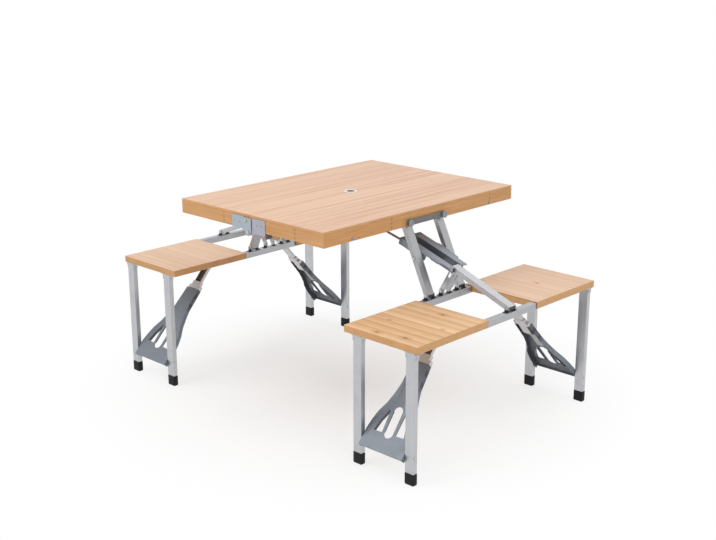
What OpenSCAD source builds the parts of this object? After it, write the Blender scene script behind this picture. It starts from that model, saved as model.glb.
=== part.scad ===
// Folding camping table with two benches. X runs from bench to bench, Y along the benches, Z up.

/* [Table] */
// length of the table along the benches
table_l = 850; // [760:1:950]
// width of the table over both halves
table_w = 620; // [600:1:700]
// height of the table top above the ground
table_h = 652; // [620:1:720]
// depth of each tray, top board included
tray_d = 45; // [38:0.5:50]
// thickness of the top boards
board_t = 8; // [6:0.5:10]
// thickness of the long rim boards
rim_t = 12; // [11:0.5:14]
// thickness of the rim boards at both ends
rim_end_t = 7.5; // [5:0.5:8]

/* [Parasol ring] */
// clear hole for the parasol pole
ring_bore = 25; // [18:0.5:28]
// outer diameter of the ring flange
ring_od = 43.6; // [38:0.2:54]
// height of the flange above the table top
ring_h = 1.5; // [1:0.5:4]
// depth of the seat of the flange in the top boards
ring_sink = 2; // [1:0.5:4]

/* [Benches] */
// clear gap between table edge and bench in plan
bench_gap = 66; // [50:1:90]
// width of each bench
bench_w = 267.3; // [250:0.1:275]
// length of each bench
bench_l = 833; // [760:1:834]
// gap between the two seats of a bench
mid_gap = 230; // [190:1:300]
// height of the seats above the ground
seat_h = 402.5; // [390:0.5:440]
// thickness of the seat boards
seat_t = 21; // [19:0.5:23]
// wood at the closed outer end of each rail groove
seat_end = 12; // [8:0.5:16]
// outer size of the square bench rails
rail_w = 20; // [16:0.5:20.5]
// wall of the rails and of the brace tube
tube_wall = 1.5; // [1:0.1:2.5]

/* [Struts] */
// distance of each strut from the middle of the bench
strut_y = 71.5; // [70:0.5:90]
// strut size along the bench
strut_w = 28; // [24:0.5:28.5]
// strut thickness
strut_t = 15; // [12:0.5:15.5]

/* [Brace] */
// half width of the stamped brace plate
plate_half = 46; // [44:0.5:50.5]
// length of the brace plate above its rivets
plate_up = 91.5; // [70:0.5:91.5]
// sheet thickness of the stamped plates
sheet_t = 1.5; // [1:0.1:1.6]
// diameter of the lock rods
rod_d = 7; // [4:0.5:7.5]

/* [Legs] */
// leg size across the bench
leg_w = 30; // [24:0.5:31]
// leg size along the bench
leg_t = 15; // [12:0.5:15]
// height of the black leg caps
foot_h = 34; // [24:1:42]
// height of the leg plate rivets above the ground
plate_z = 81; // [72:1:90]
// half width of the leg plate at its foot
leg_plate_half = 80; // [70:0.5:80.5]
// distance along the bench from each pair of legs to the pivot of its link
link_run = 255.5; // [252:0.5:258]

/* [Handle and latches] */
// distance between the two handle bosses
handle_l = 153; // [130:1:190]
// height of the handle strap
handle_h = 20; // [14:1:22]
// distance of each latch from the nearer end of the table
latch_end = 114; // [60:1:160]

/* [Hidden] */
$fn = 48;
e = 0.01;
half_w = table_w / 2;
half_l = table_l / 2;
seam = 0.3;
board_z = table_h - board_t;
rim_z = table_h - tray_d;
rim_in = half_w - rim_t;
end_in = half_l - rim_end_t;
bore_r = ring_bore / 2;
flange_r = ring_od / 2;
sleeve_r = bore_r + 3.5;
bench_x0 = half_w + bench_gap;
bench_x1 = bench_x0 + bench_w;
bench_mid = (bench_x0 + bench_x1) / 2;
rail_top = seat_h - 3;
rail_bot = rail_top - rail_w;
seat_bot = seat_h - seat_t;
rail_in_x = bench_x0 + 16;
rail_out_x = bench_x1 - 12.3;
pin_h = 11.5;
pin_r = 3.5;
hole_r = pin_r + 0.3;
hanger_x = rim_in - 11.5;
hanger_z = board_z - 12;
foot_x = rail_in_x - 2;
foot_z = rail_top + pin_h;
strut_a = atan2(foot_z - hanger_z, foot_x - hanger_x);
strut_l = norm([foot_x - hanger_x, foot_z - hanger_z]);
rivet_at = 128.1;
rivet_x = hanger_x + rivet_at * cos(strut_a);
rivet_z = hanger_z + rivet_at * sin(strut_a);
knee_dx = 42;
knee_dz = 75;
knee_x = foot_x + knee_dx;
knee_z = foot_z + knee_dz;
plate_a = atan2(knee_z - rivet_z, knee_x - rivet_x);
knee_t = norm([knee_x - rivet_x, knee_z - rivet_z]);
rod_x = rivet_x - plate_up * cos(plate_a);
rod_z = rivet_z - plate_up * sin(plate_a);
rod_dx = 150;
rod_dz = 39;
tube_half = 14;
tube_t = 15;
tube_a = atan2(foot_z - knee_z, rail_out_x - knee_x);
tube_l = norm([rail_out_x - knee_x, foot_z - knee_z]);
lock_a = atan2(knee_z - foot_z, knee_x - foot_x);
lock_l = norm([knee_x - foot_x, knee_z - foot_z]);
leg_in_x = bench_x0 + 49;
leg_out_x = bench_x1 - 25.3;
leg_mid = (leg_in_x + leg_out_x) / 2;
leg_y = bench_l / 2 - 10.5;
leg_piv = seat_bot - 13.5;
leg_end = 8;
lip_y = leg_y + leg_t / 2 + 0.4;
link_y = leg_y - link_run;
link_z = seat_bot - 9.5;
leg_a = atan2(link_z - plate_z, link_y - leg_y);
leg_run = norm([link_z - plate_z, link_y - leg_y]);
link_bare = 131;
knee_in = 47;
plate_len = leg_run - link_bare;
knee_u = plate_len - knee_in;
link_l = leg_run - knee_u;
foot_u = 30;
outline_l = 226;
plate_s = (plate_len - foot_u) / outline_l;
slot_r = 15;
slot_u0 = 36;
slot_u1 = 101;
strap_u0 = 125;
lean = leg_mid - bench_mid;
lean_a = atan2(lean, plate_len - foot_u);
rail_half = bench_l / 2 - seat_end - 0.5;
latch_y = half_l - latch_end;
plate_out = leg_out_x - leg_mid - leg_w / 2 - 1.3;
plate_in = min(leg_plate_half, plate_out);
wood_top = [0.92, 0.78, 0.66];
wood_side = [0.82, 0.62, 0.41];
alu = [0.75, 0.76, 0.78];
steel = [0.83, 0.84, 0.86];
blue_grey = [0.52, 0.55, 0.60];
black = [0.09, 0.09, 0.10];

// the left half and the left bench are mirror images of the right ones
module a_side() { mirror([1, 0, 0]) children(); }
module y_low() { mirror([0, 1, 0]) children(); }
module both_y() {
  children();
  mirror([0, 1, 0]) children();
}
module box(x0, x1, y0, y1, z0, z1) {
  translate([x0, y0, z0]) cube([x1 - x0, y1 - y0, z1 - z0]);
}
// round bar along Y or along X
module rod_y(x, z, r, y0, y1) {
  translate([x, y1, z]) rotate([90, 0, 0]) cylinder(r = r, h = y1 - y0);
}
module rod_x(y, z, r, x0, x1) {
  translate([x0, y, z]) rotate([0, 90, 0]) cylinder(r = r, h = x1 - x0);
}
// frames whose X axis lies along a strut, the plate, the tube or the lock bracket
module on_strut() { translate([hanger_x, 0, hanger_z]) rotate([0, -strut_a, 0]) children(); }
module on_plate() { translate([rivet_x, 0, rivet_z]) rotate([0, -plate_a, 0]) children(); }
module on_tube() { translate([knee_x, 0, knee_z]) rotate([0, -tube_a, 0]) children(); }
module on_lock() { translate([foot_x, 0, foot_z]) rotate([0, -lock_a, 0]) children(); }
// frame of the leg plate at the far end: Y runs up the plate, Z to its open side
module on_leg_plate() { translate([leg_mid, leg_y, plate_z]) rotate([leg_a, 0, 0]) children(); }

// table
module top_board() {
  difference() {
    box(seam, half_w, -half_l, half_l, board_z, table_h);
    cylinder(r = sleeve_r + 0.3, h = table_h + 1);
    translate([0, 0, table_h - ring_sink]) cylinder(r = flange_r + 0.3, h = ring_sink + 1);
  }
}
module rim() {
  difference() {
    box(seam, half_w, -half_l, half_l, rim_z, board_z);
    box(rim_t, rim_in, -end_in, end_in, rim_z - 1, board_z + 1);
    cylinder(r = sleeve_r + 0.3, h = table_h + 1);
    both_y() box(rim_in - 1, rim_in + 9.5, strut_y - strut_w / 2 - 2.5, strut_y + strut_w / 2 + 2.5,
      rim_z - 1, rim_z + 21);
  }
}
module ring_body() {
  difference() {
    union() {
      translate([0, 0, table_h - ring_sink]) cylinder(r = flange_r, h = ring_sink + ring_h - 0.6);
      translate([0, 0, table_h]) cylinder(r = flange_r - 0.6, h = ring_h);
      translate([0, 0, table_h - 18]) cylinder(r = sleeve_r, h = 18);
    }
    translate([0, 0, table_h - 19]) cylinder(r = bore_r, h = 20 + ring_h);
  }
}

// seam hinge: the ear of the left leaf carries the pin, the right leaf turns on it
hinge_z = rim_z - 7;
leaf_y = half_l + 2;
module leaf_a() {
  difference() {
    union() {
      box(-71, -17, half_l, leaf_y + 0.3, rim_z, board_z);
      box(-24, 14, leaf_y + 0.3, leaf_y + 2.3, hinge_z, rim_z + 35);
      rod_y(-9.6, rim_z + 25, 5, half_l, leaf_y + 0.4);
      rod_y(0, hinge_z, 12, leaf_y + 0.3, leaf_y + 2.3);
    }
    rod_y(0, hinge_z, pin_r, half_l - 9, leaf_y + 9);
    for (x = [-60, -38]) rod_y(x, rim_z + 18, 2.6, leaf_y - 0.9, leaf_y + 1);
  }
}
module leaf_b() {
  difference() {
    union() {
      box(16, 72, half_l, leaf_y, hinge_z - 2, board_z);
      box(0, 16 + e, half_l, leaf_y, hinge_z - 9, hinge_z + 9);
      rod_y(0, hinge_z, 9, half_l, leaf_y);
    }
    rod_y(0, hinge_z, hole_r, half_l - 1, leaf_y + 1);
    for (x = [38, 60]) rod_y(x, rim_z + 18, 2.6, leaf_y - 1.2, leaf_y + 1);
  }
}
module pins_of_hinge() {
  rod_y(0, hinge_z, pin_r, half_l - 1.8, leaf_y + 2.3);
  rod_y(0, hinge_z, 5.5, half_l - 3.3, half_l - 0.3);
  rod_y(0, hinge_z, 6, leaf_y + 2.3, leaf_y + 4.8);
  rod_y(-9.6, rim_z + 25, 5, leaf_y + 2.3, leaf_y + 5);
}

// handle and latches
handle_z = rim_z + 11;
boss_y = handle_l / 2;
boss_x = half_w + 10;
strap_x = half_w + 1.2;
module bosses() {
  both_y() {
    rod_x(boss_y, handle_z, 5, half_w, boss_x);
    rod_x(boss_y, handle_z, 8, half_w, half_w + 1);
    rod_x(boss_y, handle_z, 10.5, boss_x, boss_x + 3.5);
  }
}
module strap() {
  difference() {
    union() {
      box(strap_x, strap_x + 3.6, -boss_y, boss_y, handle_z - handle_h / 2, handle_z + handle_h / 2);
      both_y() rod_x(boss_y, handle_z, handle_h / 2, strap_x, strap_x + 3.6);
      box(strap_x, strap_x + 5, -boss_y + 18, boss_y - 18, handle_z - handle_h / 2 + 3,
        handle_z + handle_h / 2 - 3);
    }
    both_y() rod_x(boss_y, handle_z, 5.3, strap_x - 1, strap_x + 6);
  }
}
catch_z = rim_z + 6;
module catches() {
  both_y() translate([half_w, latch_y, catch_z]) rotate([0, 90, 0]) difference() {
    union() {
      cylinder(r = 5.6, h = 1.5);
      cylinder(r1 = 4.8, r2 = 3.6, h = 5);
    }
    translate([0, 0, 2]) cylinder(r = 1.8, h = 4);
  }
}
lever_x = -half_w - 5;
lever_z = rim_z + 9;
module latch_base() {
  box(-half_w - 1.5, -half_w, -12, 12, rim_z + 2, rim_z + 38);
  for (s = [-1, 1]) box(lever_x - 4, -half_w - 1, s * 10.2 - 1, s * 10.2 + 1, lever_z - 4, lever_z + 4);
  rod_y(lever_x, lever_z, 1.6, -12.5, 12.5);
}
module latch_lever() {
  difference() {
    union() {
      rod_y(lever_x, lever_z, 3.2, -8.8, 8.8);
      box(lever_x - 2, lever_x - 0.2, -8.8, 8.8, lever_z, lever_z + 31);
      box(lever_x - 5, lever_x - 0.2, -8.8, 8.8, lever_z + 29, lever_z + 31);
    }
    rod_y(lever_x, lever_z, 1.9, -10, 10);
  }
}

// benches
module seat() {
  difference() {
    box(bench_x0, bench_x1, mid_gap / 2, bench_l / 2, seat_bot, seat_h);
    for (x = [rail_in_x, rail_out_x])
      box(x - rail_w / 2 - 0.2, x + rail_w / 2 + 0.2, mid_gap / 2 - 1, bench_l / 2 - seat_end,
        seat_bot - 1, rail_top);
  }
}
module rails() {
  for (x = [rail_in_x, rail_out_x]) difference() {
    box(x - rail_w / 2, x + rail_w / 2, -rail_half, rail_half, rail_bot, rail_top);
    box(x - rail_w / 2 + tube_wall, x + rail_w / 2 - tube_wall, -rail_half - 1, rail_half + 1,
      rail_bot + tube_wall, rail_top - tube_wall);
  }
}
// bracket ear with a foot on the rail; the foot turns away from the tube
module rail_ear(x, y, s) {
  box(x - 8, x + 8, min(y, y + s * 1.6), max(y, y + s * 1.6), rail_top, rail_top + pin_h);
  rod_y(x, rail_top + pin_h, 8, min(y, y + s * 1.6), max(y, y + s * 1.6));
  box(x - 8, x + 8, min(y, y + s * 9), max(y, y + s * 9), rail_top, rail_top + 1.6);
}
module brackets() {
  ear = strut_w / 2 + 0.4;
  both_y() {
    rail_ear(foot_x, strut_y + ear, 1);
    rail_ear(foot_x, strut_y - ear, -1);
    rod_y(foot_x, foot_z, pin_r, strut_y - ear - 3, strut_y + ear + 3);
    rod_y(foot_x, foot_z, 5.5, strut_y + ear + 1.6, strut_y + ear + 4);
    rail_ear(foot_x, tube_half + 3, 1);
    rod_y(foot_x, foot_z, pin_r, tube_half + 0.4, tube_half + 7);
    rod_y(foot_x, foot_z, 5.5, tube_half + 4.6, tube_half + 7);
    rail_ear(rail_out_x, tube_half + 0.4, 1);
    rod_y(rail_out_x, foot_z, 5.5, tube_half + 2, tube_half + 4.4);
  }
  rod_y(rail_out_x, foot_z, pin_r, -tube_half - 4, tube_half + 4);
}

// struts with their rivets, end plugs and hangers
module struts() {
  wall = 1.5;
  both_y() difference() {
    union() {
      on_strut() difference() {
        union() {
          box(0, strut_l, strut_y - strut_w / 2, strut_y + strut_w / 2, -strut_t / 2, strut_t / 2);
          rod_y(0, 0, strut_t / 2, strut_y - strut_w / 2, strut_y + strut_w / 2);
        }
        box(12, strut_l + 1, strut_y - strut_w / 2 + wall, strut_y + strut_w / 2 - wall,
          -strut_t / 2 + wall, strut_t / 2 - wall);
      }
      rod_y(rivet_x, rivet_z, 3, plate_half + 1, strut_y + strut_w / 2 + 1);
      rod_y(rivet_x, rivet_z, 5.5, strut_y - strut_w / 2 - 1.7, strut_y - strut_w / 2 + e);
      rod_y(rivet_x, rivet_z, 6, plate_half + 1, plate_half + 3.2);
      rod_y(rivet_x, rivet_z, 5.5, strut_y + strut_w / 2 - e, strut_y + strut_w / 2 + 2);
    }
    on_strut() rod_y(0, 0, hole_r, strut_y - strut_w, strut_y + strut_w);
    on_strut() rod_y(strut_l, 0, strut_t / 2 + 0.01, strut_y - strut_w, strut_y + strut_w);
  }
}
module plugs() {
  both_y() on_strut() difference() {
    union() {
      rod_y(strut_l, 0, strut_t / 2, strut_y - strut_w / 2, strut_y + strut_w / 2);
      box(strut_l - 24, strut_l, strut_y - strut_w / 2 + 1.5, strut_y + strut_w / 2 - 1.5,
        -strut_t / 2 + 1.5, strut_t / 2 - 1.5);
    }
    rod_y(strut_l, 0, hole_r, strut_y - strut_w, strut_y + strut_w);
  }
}
module hangers() {
  ear = strut_w / 2 + 0.4;
  both_y() {
    box(hanger_x - 9, hanger_x + 9, strut_y - ear - 1.6, strut_y + ear + 1.6, board_z - 1.6, board_z);
    for (s = [-1, 1]) {
      box(hanger_x - 9, hanger_x + 9, strut_y + s * (ear + 0.8) - 0.8, strut_y + s * (ear + 0.8) + 0.8,
        hanger_z, board_z);
      rod_y(hanger_x, hanger_z, 9, strut_y + s * (ear + 0.8) - 0.8, strut_y + s * (ear + 0.8) + 0.8);
      rod_y(hanger_x, hanger_z, 5.5, strut_y + s * (ear + 2.6) - 1, strut_y + s * (ear + 2.6) + 1);
    }
    rod_y(hanger_x, hanger_z, pin_r, strut_y - ear - 3, strut_y + ear + 3);
  }
}

// brace: tube, stamped plate, bolts, lock bracket, rods and hooks
module brace_tube() {
  on_tube() difference() {
    box(-8, tube_l + 6, -tube_half, tube_half, -tube_t / 2, tube_t / 2);
    box(-9, tube_l + 7, -tube_half + tube_wall, tube_half - tube_wall, -tube_t / 2 + tube_wall,
      tube_t / 2 - tube_wall);
    rod_y(tube_l, 0, hole_r, -20, 20);
  }
}
module tube_caps() {
  on_tube() difference() {
    union() {
      for (x = [-10, tube_l + 6]) box(x, x + 2, -tube_half, tube_half, -tube_t / 2, tube_t / 2);
      box(tube_l - 10, tube_l + 6 + e, -tube_half + tube_wall, tube_half - tube_wall,
        -tube_t / 2 + tube_wall, tube_t / 2 - tube_wall);
      box(-8 - e, 4, -tube_half + tube_wall, tube_half - tube_wall,
        -tube_t / 2 + tube_wall, tube_t / 2 - tube_wall);
    }
    rod_y(tube_l, 0, hole_r, -20, 20);
  }
}
// stamped plate, open side up: floor, two inner walls, two wings with turned edges, two ears
wing_w = 9;
floor_w = -10.5;
wall_y = tube_half + 3;
ear_half = plate_half + 3.5;
ear_r = 11;
module brace_plate() {
  end_t = knee_t + 8;
  up_t = -plate_up - 6.5;
  top_w = wing_w + sheet_t;
  on_plate() difference() {
    union() {
      box(up_t, 31, -wall_y - sheet_t, wall_y + sheet_t, floor_w, floor_w + sheet_t);
      both_y() {
        box(up_t, knee_t, wall_y, wall_y + sheet_t, floor_w, top_w);
        rod_y(knee_t, 0, 8, wall_y, wall_y + sheet_t);
        box(knee_t - 1, end_t, wall_y, wall_y + sheet_t, 0, top_w);
        translate([0, 0, wing_w]) linear_extrude(sheet_t) polygon([[up_t, wall_y], [end_t, wall_y],
          [end_t, plate_half - 8], [68, plate_half - 8], [60, plate_half], [30, plate_half],
          [20, ear_half + sheet_t], [-20, ear_half + sheet_t], [-30, plate_half], [up_t, plate_half]]);
        box(-ear_r - 4, ear_r + 4, ear_half, ear_half + sheet_t, 0, top_w);
        box(-4, 4, ear_half, ear_half + sheet_t, -ear_r, 0);
        for (s = [-1, 1]) rod_y(4 * s, 0, ear_r, ear_half, ear_half + sheet_t);
        box(30, 60, plate_half - sheet_t, plate_half, 4.5, top_w);
        box(up_t, -30, plate_half - sheet_t, plate_half, floor_w, top_w);
      }
    }
    rod_y(0, 0, 3.3, plate_half - 9, ear_half + 9);
    rod_y(0, 0, 3.3, -ear_half - 9, -plate_half + 9);
    rod_y(-plate_up, 0, rod_d / 2 + 0.3, plate_half - 4, plate_half + 4);
    rod_y(-plate_up, 0, rod_d / 2 + 0.3, -plate_half - 4, -plate_half + 4);
    rod_y(knee_t, 0, pin_r, -99, 99);
  }
}
module knee_bolts() {
  both_y() on_plate() {
    rod_y(knee_t, 0, pin_r, wall_y - 0.3, wall_y + 5);
    rod_y(knee_t, 0, 8, wall_y + sheet_t, wall_y + 4.2);
    rod_y(knee_t, 0, 5, wall_y + 4.2, wall_y + 6);
  }
}
module lock_bracket() {
  cheek = tube_half + 0.6;
  on_lock() difference() {
    union() {
      both_y() {
        box(0, lock_l, cheek, cheek + 1.8, -9, 9);
        rod_y(0, 0, 9, cheek, cheek + 1.8);
        rod_y(lock_l, 0, 9, cheek, cheek + 1.8);
      }
      box(15, 45, -cheek - 1.8, cheek + 1.8, -11, -9 + e);
    }
    rod_y(0, 0, hole_r, -20, 20);
    rod_y(lock_l - 28, 0, hole_r, -20, 20);
    rod_y(lock_l, 0, hole_r, -20, 20);
    box(lock_l - 28, lock_l, -20, 20, -hole_r, hole_r);
  }
}
rod_y0 = plate_half - 10;
hook_y = plate_half + 2.5;
module lock_rods() {
  len = norm([rod_dx, rod_dz]);
  both_y() translate([rod_x, 0, rod_z]) rotate([0, atan2(rod_dz, rod_dx), 0]) {
    translate([0, rod_y0, 0]) rotate([0, -90, 0]) cylinder(r = rod_d / 2, h = len);
    translate([0, rod_y0, 0]) sphere(r = rod_d / 2);
    translate([-len, rod_y0, 0]) sphere(r = rod_d / 2);
    rod_y(0, 0, rod_d / 2, rod_y0, plate_half + 0.6);
    rod_y(-len, 0, rod_d / 2, rod_y0, hook_y + 3.5);
  }
}
module hooks() {
  px = rod_x - rod_dx;
  pz = rod_z + rod_dz;
  r = rod_d / 2;
  both_y() {
    box(px + r + 1, px + 22, hook_y, hook_y + 2, pz - r - 9, board_z);
    box(px - r - 2, px + 22, hook_y, hook_y + 2, pz - r - 9, pz - r);
    box(px + r + 1, px + 22, hook_y - 8, hook_y + 2, board_z - 2, board_z);
  }
}

// legs with rivets for the leg plate, caps, hangers, plate and link; far end of the bench
module legs() {
  for (s = [-1, 1]) {
    x = leg_mid + s * (leg_out_x - leg_mid);
    difference() {
      box(x - leg_w / 2, x + leg_w / 2, leg_y - leg_t / 2, leg_y + leg_t / 2, 4, leg_piv + leg_end);
      box(x - leg_w / 2 + 1.5, x + leg_w / 2 - 1.5, leg_y - leg_t / 2 + 1.5, leg_y + leg_t / 2 - 1.5,
        3, leg_piv + leg_end + 1);
      rod_x(leg_y, leg_piv, hole_r, x - 30, x + 30);
    }
    out = x + s * (leg_w / 2 + 1.8);
    inn = x - s * (leg_w / 2 + 0.6);
    rod_x(leg_y, plate_z, 3, min(out, inn), max(out, inn));
    rod_x(leg_y, plate_z, 5, min(out, out - s * 2), max(out, out - s * 2));
    rod_x(leg_y, plate_z, 5, min(inn, inn + s * 0.7), max(inn, inn + s * 0.7));
  }
}
module feet() {
  for (s = [-1, 1]) {
    x = leg_mid + s * (leg_out_x - leg_mid);
    difference() {
      union() {
        box(x - leg_w / 2 - 1.5, x + leg_w / 2 + 1.5, leg_y - leg_t / 2 - 1.5, leg_y + leg_t / 2 + 1.5,
          2, foot_h);
        box(x - leg_w / 2, x + leg_w / 2, leg_y - leg_t / 2, leg_y + leg_t / 2, 0, 2 + e);
      }
      box(x - leg_w / 2, x + leg_w / 2, leg_y - leg_t / 2, leg_y + leg_t / 2, 4, foot_h + 1);
    }
  }
}
module leg_ear(x, s, z1) {
  box(min(x, x + s * 1.6), max(x, x + s * 1.6), leg_y - 8, leg_y + 8, leg_piv, z1);
  box(min(x, x + s * 1.6), max(x, x + s * 1.6), leg_y + 7, lip_y + 1.5, leg_piv + leg_end, z1);
  rod_x(leg_y, leg_piv, 8, min(x, x + s * 1.6), max(x, x + s * 1.6));
}
module leg_hangers_far() {
  gap = leg_w / 2 + 0.4;
  for (x = [leg_in_x, leg_out_x])
    box(x - gap - 1.6, x + gap + 1.6, lip_y, lip_y + 1.5, leg_piv + leg_end, seat_bot);
  leg_ear(leg_in_x - gap, -1, seat_bot);
  box(leg_in_x - gap - 7, leg_in_x - gap, leg_y - 8, leg_y + 8, seat_bot - 1.5, seat_bot);
  leg_ear(leg_in_x + gap, 1, seat_bot);
  box(leg_in_x + gap, leg_in_x + gap + 10, leg_y - 8, leg_y + 8, seat_bot - 1.5, seat_bot);
  rod_x(leg_y, leg_piv, pin_r, leg_in_x - gap - 3, leg_in_x + gap + 3);
  leg_ear(leg_out_x - gap, -1, seat_bot);
  box(leg_out_x - gap - 10, leg_out_x - gap, leg_y - 8, leg_y + 8, seat_bot - 1.5, seat_bot);
  leg_ear(leg_out_x + gap, 1, rail_bot);
  box(leg_out_x + gap, leg_out_x + gap + 7, leg_y - 22, leg_y + 8, rail_bot - 1.5, rail_bot);
  rod_x(leg_y, leg_piv, pin_r, leg_out_x - gap - 3, leg_out_x + gap + 3);
  box(bench_mid - 24, bench_mid + 24, link_y - 10, link_y + 10, seat_bot - 1.5, seat_bot);
  for (s = [-1, 1]) {
    x = bench_mid + s * 16.2;
    box(x - 0.8, x + 0.8, link_y - 6, link_y + 6, link_z, seat_bot);
    rod_x(link_y, link_z, 6, x - 0.8, x + 0.8);
  }
  rod_x(link_y, link_z, 3, bench_mid - 19, bench_mid + 19);
}
// turned frame for the upper part of the leg plate, which leans to the middle of the bench
module on_lean() { translate([0, foot_u, 0]) rotate([0, 0, lean_a]) translate([0, -foot_u, 0]) children(); }
// outline points of the plate: distance up the plate and half width
module leg_plate() {
  w = plate_in;
  h = [[-22, w], [foot_u, w], [foot_u + 30 * plate_s, w - 6], [foot_u + 56 * plate_s, w - 14],
    [foot_u + 86 * plate_s, w - 30], [foot_u + 120 * plate_s, w - 41], [foot_u + 150 * plate_s, w - 48],
    [plate_len, w - 51.5]];
  n = len(h);
  mid = [for (p = h) -lean * max(0, p[0] - foot_u) / (plate_len - foot_u)];
  knee_c = -lean * (knee_u - foot_u) / (plate_len - foot_u);
  t = sheet_t;
  low = -9.5;
  on_leg_plate() difference() {
    union() {
      translate([0, 0, low]) linear_extrude(t) polygon(concat(
        [for (i = [0:n - 1]) [mid[i] + h[i][1], h[i][0]]],
        [for (i = [n - 1:-1:0]) [mid[i] - h[i][1], h[i][0]]]));
      for (s = [-1, 1]) translate([0, 0, low]) linear_extrude(15.5) polygon(concat(
        [for (i = [0:n - 1]) [mid[i] + s * h[i][1], h[i][0]]],
        [for (i = [n - 1:-1:0]) [mid[i] + s * (h[i][1] - t), h[i][0]]]));
      box(-w, w, -22, -22 + t, low, low + 6);
      on_lean() {
        for (s = [-1, 1]) box(s * (slot_r + 0.8) - 0.8, s * (slot_r + 0.8) + 0.8, slot_u0,
          slot_u1 - 1, low, low + 4);
        box(-13, 13, strap_u0, knee_u - 8, low + t - e, low + t + 1.3);
        for (s = [-1, 1]) translate([0, 0, low]) {
          linear_extrude(4) polygon([[s * (slot_r + 9), slot_u0 - 2], [s * (slot_r + 7.5), slot_u0 - 2],
            [s * (slot_r + 10.3), slot_u1 + 2], [s * (slot_r + 11.8), slot_u1 + 2]]);
          linear_extrude(11) polygon([[s * (slot_r + 39), slot_u0 - 2], [s * (slot_r + 40.5), slot_u0 - 2],
            [s * (slot_r + 32.5), slot_u0 + 30.5], [s * (slot_r + 16.2), slot_u1 + 1.8],
            [s * (slot_r + 14.7), slot_u1 + 1], [s * (slot_r + 31), slot_u0 + 30]]);
        }
      }
      rod_x(knee_u, 0, 3, knee_c - w + 50.5, knee_c + w - 50.5);
    }
    on_lean() translate([0, 0, low - 1]) linear_extrude(t + 2) {
      translate([0, slot_u0]) circle(r = slot_r);
      translate([0, slot_u1]) circle(r = slot_r);
      translate([-slot_r, slot_u0]) square([2 * slot_r, slot_u1 - slot_u0]);
      for (s = [-1, 1]) polygon([[s * (slot_r + 9), slot_u0 - 2], [s * (slot_r + 39), slot_u0 - 2],
        [s * (slot_r + 31), slot_u0 + 30], [s * (slot_r + 12), slot_u1 + 7]]);
    }
    rod_x(0, 0, 3.3, -w - 5, w + 5);
  }
}
// link: channel open to the foot side, with a stepped collar that stops on the end of the plate
collar_u = 48.5;
collar_half = 27;
module leg_link() {
  on_leg_plate() translate([-lean, leg_run, 0]) {
    difference() {
      union() {
        box(-15, 15, -link_l, 0, -5, 5);
        rod_x(0, 0, 5, -15, 15);
        rod_x(-link_l, 0, 5, -15, 15);
      }
      box(-13.5, 13.5, 12 - link_l, -12, -6, 3.5);
      rod_x(0, 0, 3.3, -20, 20);
      rod_x(-link_l, 0, 3.3, -20, 20);
    }
    difference() {
      union() {
        box(-collar_half, collar_half, collar_u - link_l, collar_u + 12 - link_l, -6.2, 6.2);
        box(-19, 19, collar_u - link_l, collar_u + 28 - link_l, -6.2, 6.2);
      }
      box(-15, 15, collar_u - 1 - link_l, collar_u + 29 - link_l, -5, 5);
    }
  }
}

module top_board_a() { color(wood_top) a_side() top_board(); }
module top_board_b() { color(wood_top) top_board(); }
module rim_a() { color(wood_side) a_side() rim(); }
module rim_b() { color(wood_side) rim(); }
module parasol_ring() { color([0.95, 0.95, 0.95]) ring_body(); }
module hinge_leaf_a() { color(alu) both_y() leaf_a(); }
module hinge_leaf_b() { color(alu) both_y() leaf_b(); }
module hinge_pins() { color(steel) both_y() pins_of_hinge(); }
module carry_handle() { color([0.33, 0.36, 0.37]) strap(); }
module handle_bosses() { color([0.4, 0.43, 0.44]) bosses(); }
module latch_catches() { color(steel) catches(); }
module latch_lever_left() { color(steel) translate([0, -latch_y, 0]) latch_lever(); }
module latch_lever_right() { color(steel) translate([0, latch_y, 0]) latch_lever(); }
module latch_bases() { color(alu) for (s = [-1, 1]) translate([0, s * latch_y, 0]) latch_base(); }
module seat_a1() { color(wood_top) a_side() y_low() seat(); }
module seat_a2() { color(wood_top) a_side() seat(); }
module seat_b1() { color(wood_top) y_low() seat(); }
module seat_b2() { color(wood_top) seat(); }
module rails_a() { color(alu) a_side() rails(); }
module rails_b() { color(alu) rails(); }
module rail_brackets_a() { color(steel) a_side() brackets(); }
module rail_brackets_b() { color(steel) brackets(); }
module struts_a() { color(alu) a_side() struts(); }
module struts_b() { color(alu) struts(); }
module strut_plugs_a() { color(black) a_side() plugs(); }
module strut_plugs_b() { color(black) plugs(); }
module strut_hangers_a() { color(steel) a_side() hangers(); }
module strut_hangers_b() { color(steel) hangers(); }
module brace_tube_a() { color(alu) a_side() brace_tube(); }
module brace_tube_b() { color(alu) brace_tube(); }
module tube_caps_a() { color(black) a_side() tube_caps(); }
module tube_caps_b() { color(black) tube_caps(); }
module brace_plate_a() { color(blue_grey) a_side() brace_plate(); }
module brace_plate_b() { color(blue_grey) brace_plate(); }
module knee_bolts_a() { color(black) a_side() knee_bolts(); }
module knee_bolts_b() { color(black) knee_bolts(); }
module lock_bracket_a() { color(steel) a_side() lock_bracket(); }
module lock_bracket_b() { color(steel) lock_bracket(); }
module lock_rods_a() { color(steel) a_side() lock_rods(); }
module lock_rods_b() { color(steel) lock_rods(); }
module rod_hooks_a() { color(steel) a_side() hooks(); }
module rod_hooks_b() { color(steel) hooks(); }
module legs_a1() { color(alu) a_side() y_low() legs(); }
module legs_a2() { color(alu) a_side() legs(); }
module legs_b1() { color(alu) y_low() legs(); }
module legs_b2() { color(alu) legs(); }
module feet_a1() { color(black) a_side() y_low() feet(); }
module feet_a2() { color(black) a_side() feet(); }
module feet_b1() { color(black) y_low() feet(); }
module feet_b2() { color(black) feet(); }
module leg_hangers_a() { color(steel) a_side() both_y() leg_hangers_far(); }
module leg_hangers_b() { color(steel) both_y() leg_hangers_far(); }
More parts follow.
